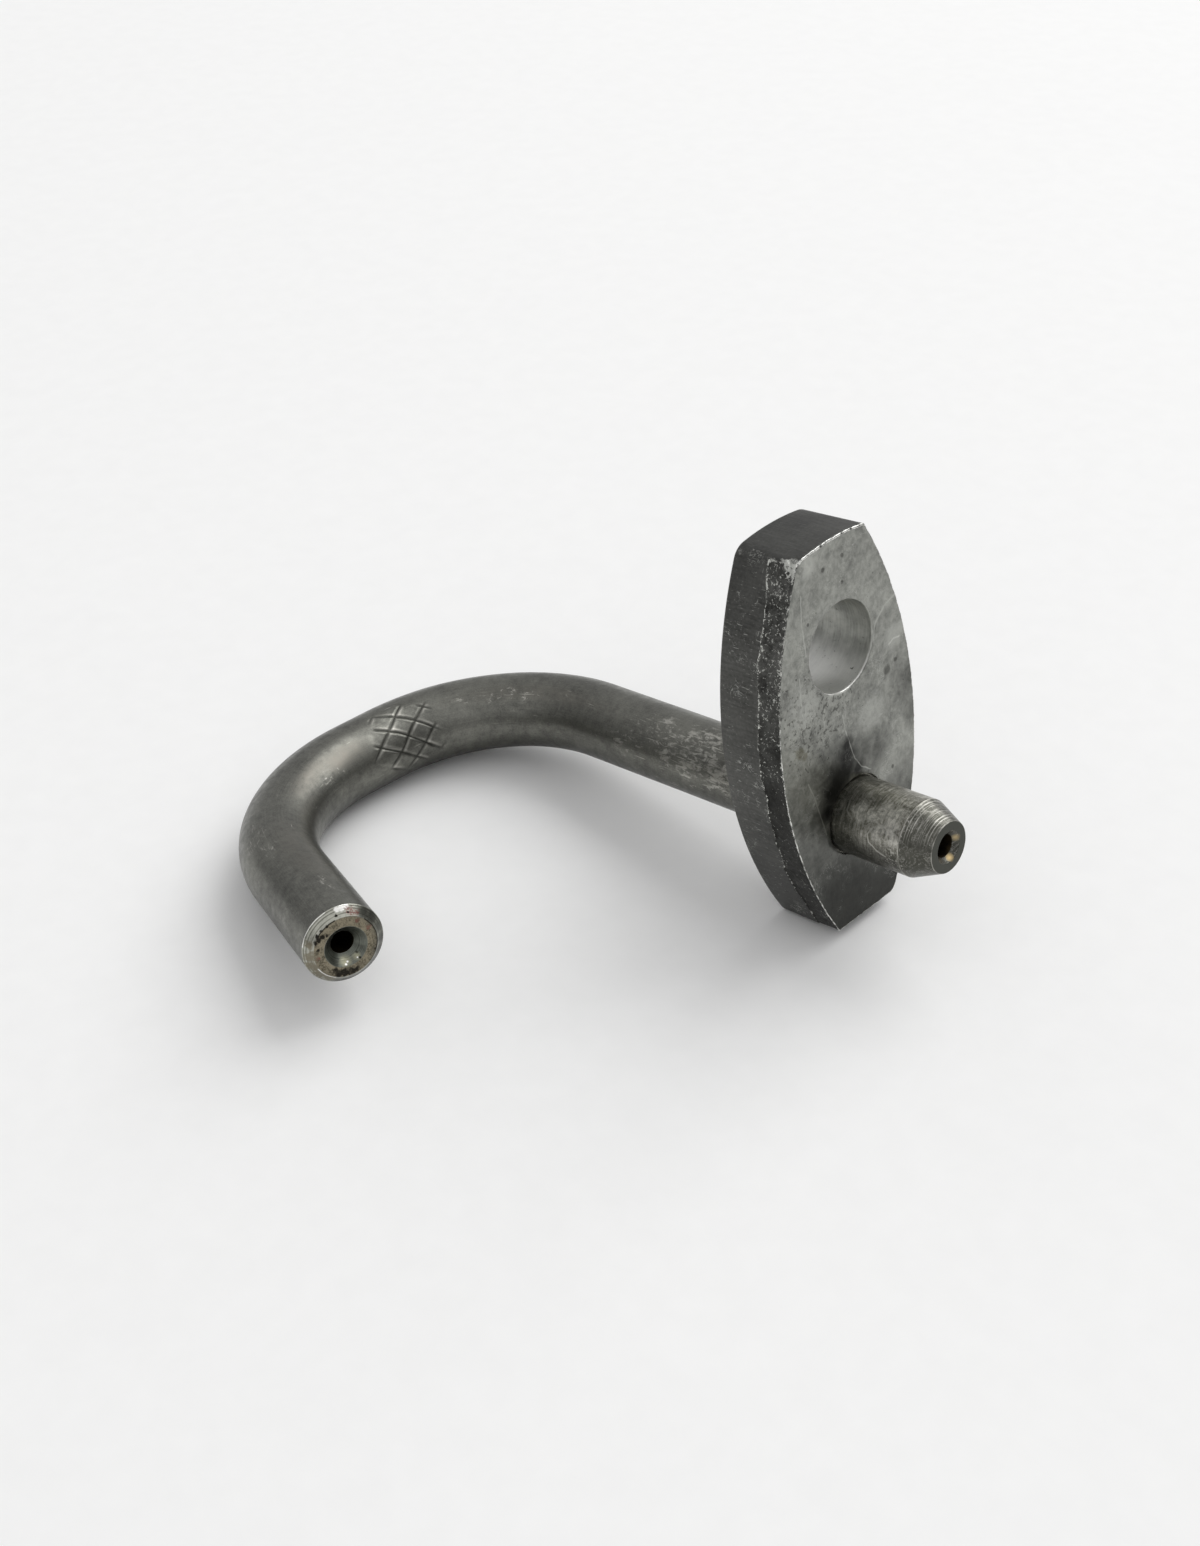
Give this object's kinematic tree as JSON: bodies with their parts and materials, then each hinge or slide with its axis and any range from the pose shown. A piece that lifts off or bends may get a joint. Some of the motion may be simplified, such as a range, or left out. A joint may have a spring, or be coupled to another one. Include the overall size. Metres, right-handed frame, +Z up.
{
  "type": "piston cooling nozzle",
  "caption": "Bent steel oil tube with a countersunk nozzle end, brazed through a thick barrel-shaped mounting flange that has a bolt hole and a tapered inlet spigot.",
  "frame": {"origin": "where the spigot's axis crosses the flange's seat face", "axes": "+X out of the seat face along the spigot, +Z up the flange's long side from the spigot to the bolt hole, and the tube hooks round towards -Y"},
  "size_m": [0.0667, 0.0558, 0.0401],
  "materials": {
    "flange_steel": "blanked plate with a thin dark phosphate coat, worn bright at the edges",
    "tube_steel": "drawn tube with a thin dark phosphate coat, bare where it is turned",
    "braze_filler": "dark, dull filler metal"
  },
  "bodies": {
    "root": {"mounting_flange": "flange_steel", "nozzle_tube": "tube_steel", "braze_fillet": "braze_filler"}
  },
  "joints": []
}
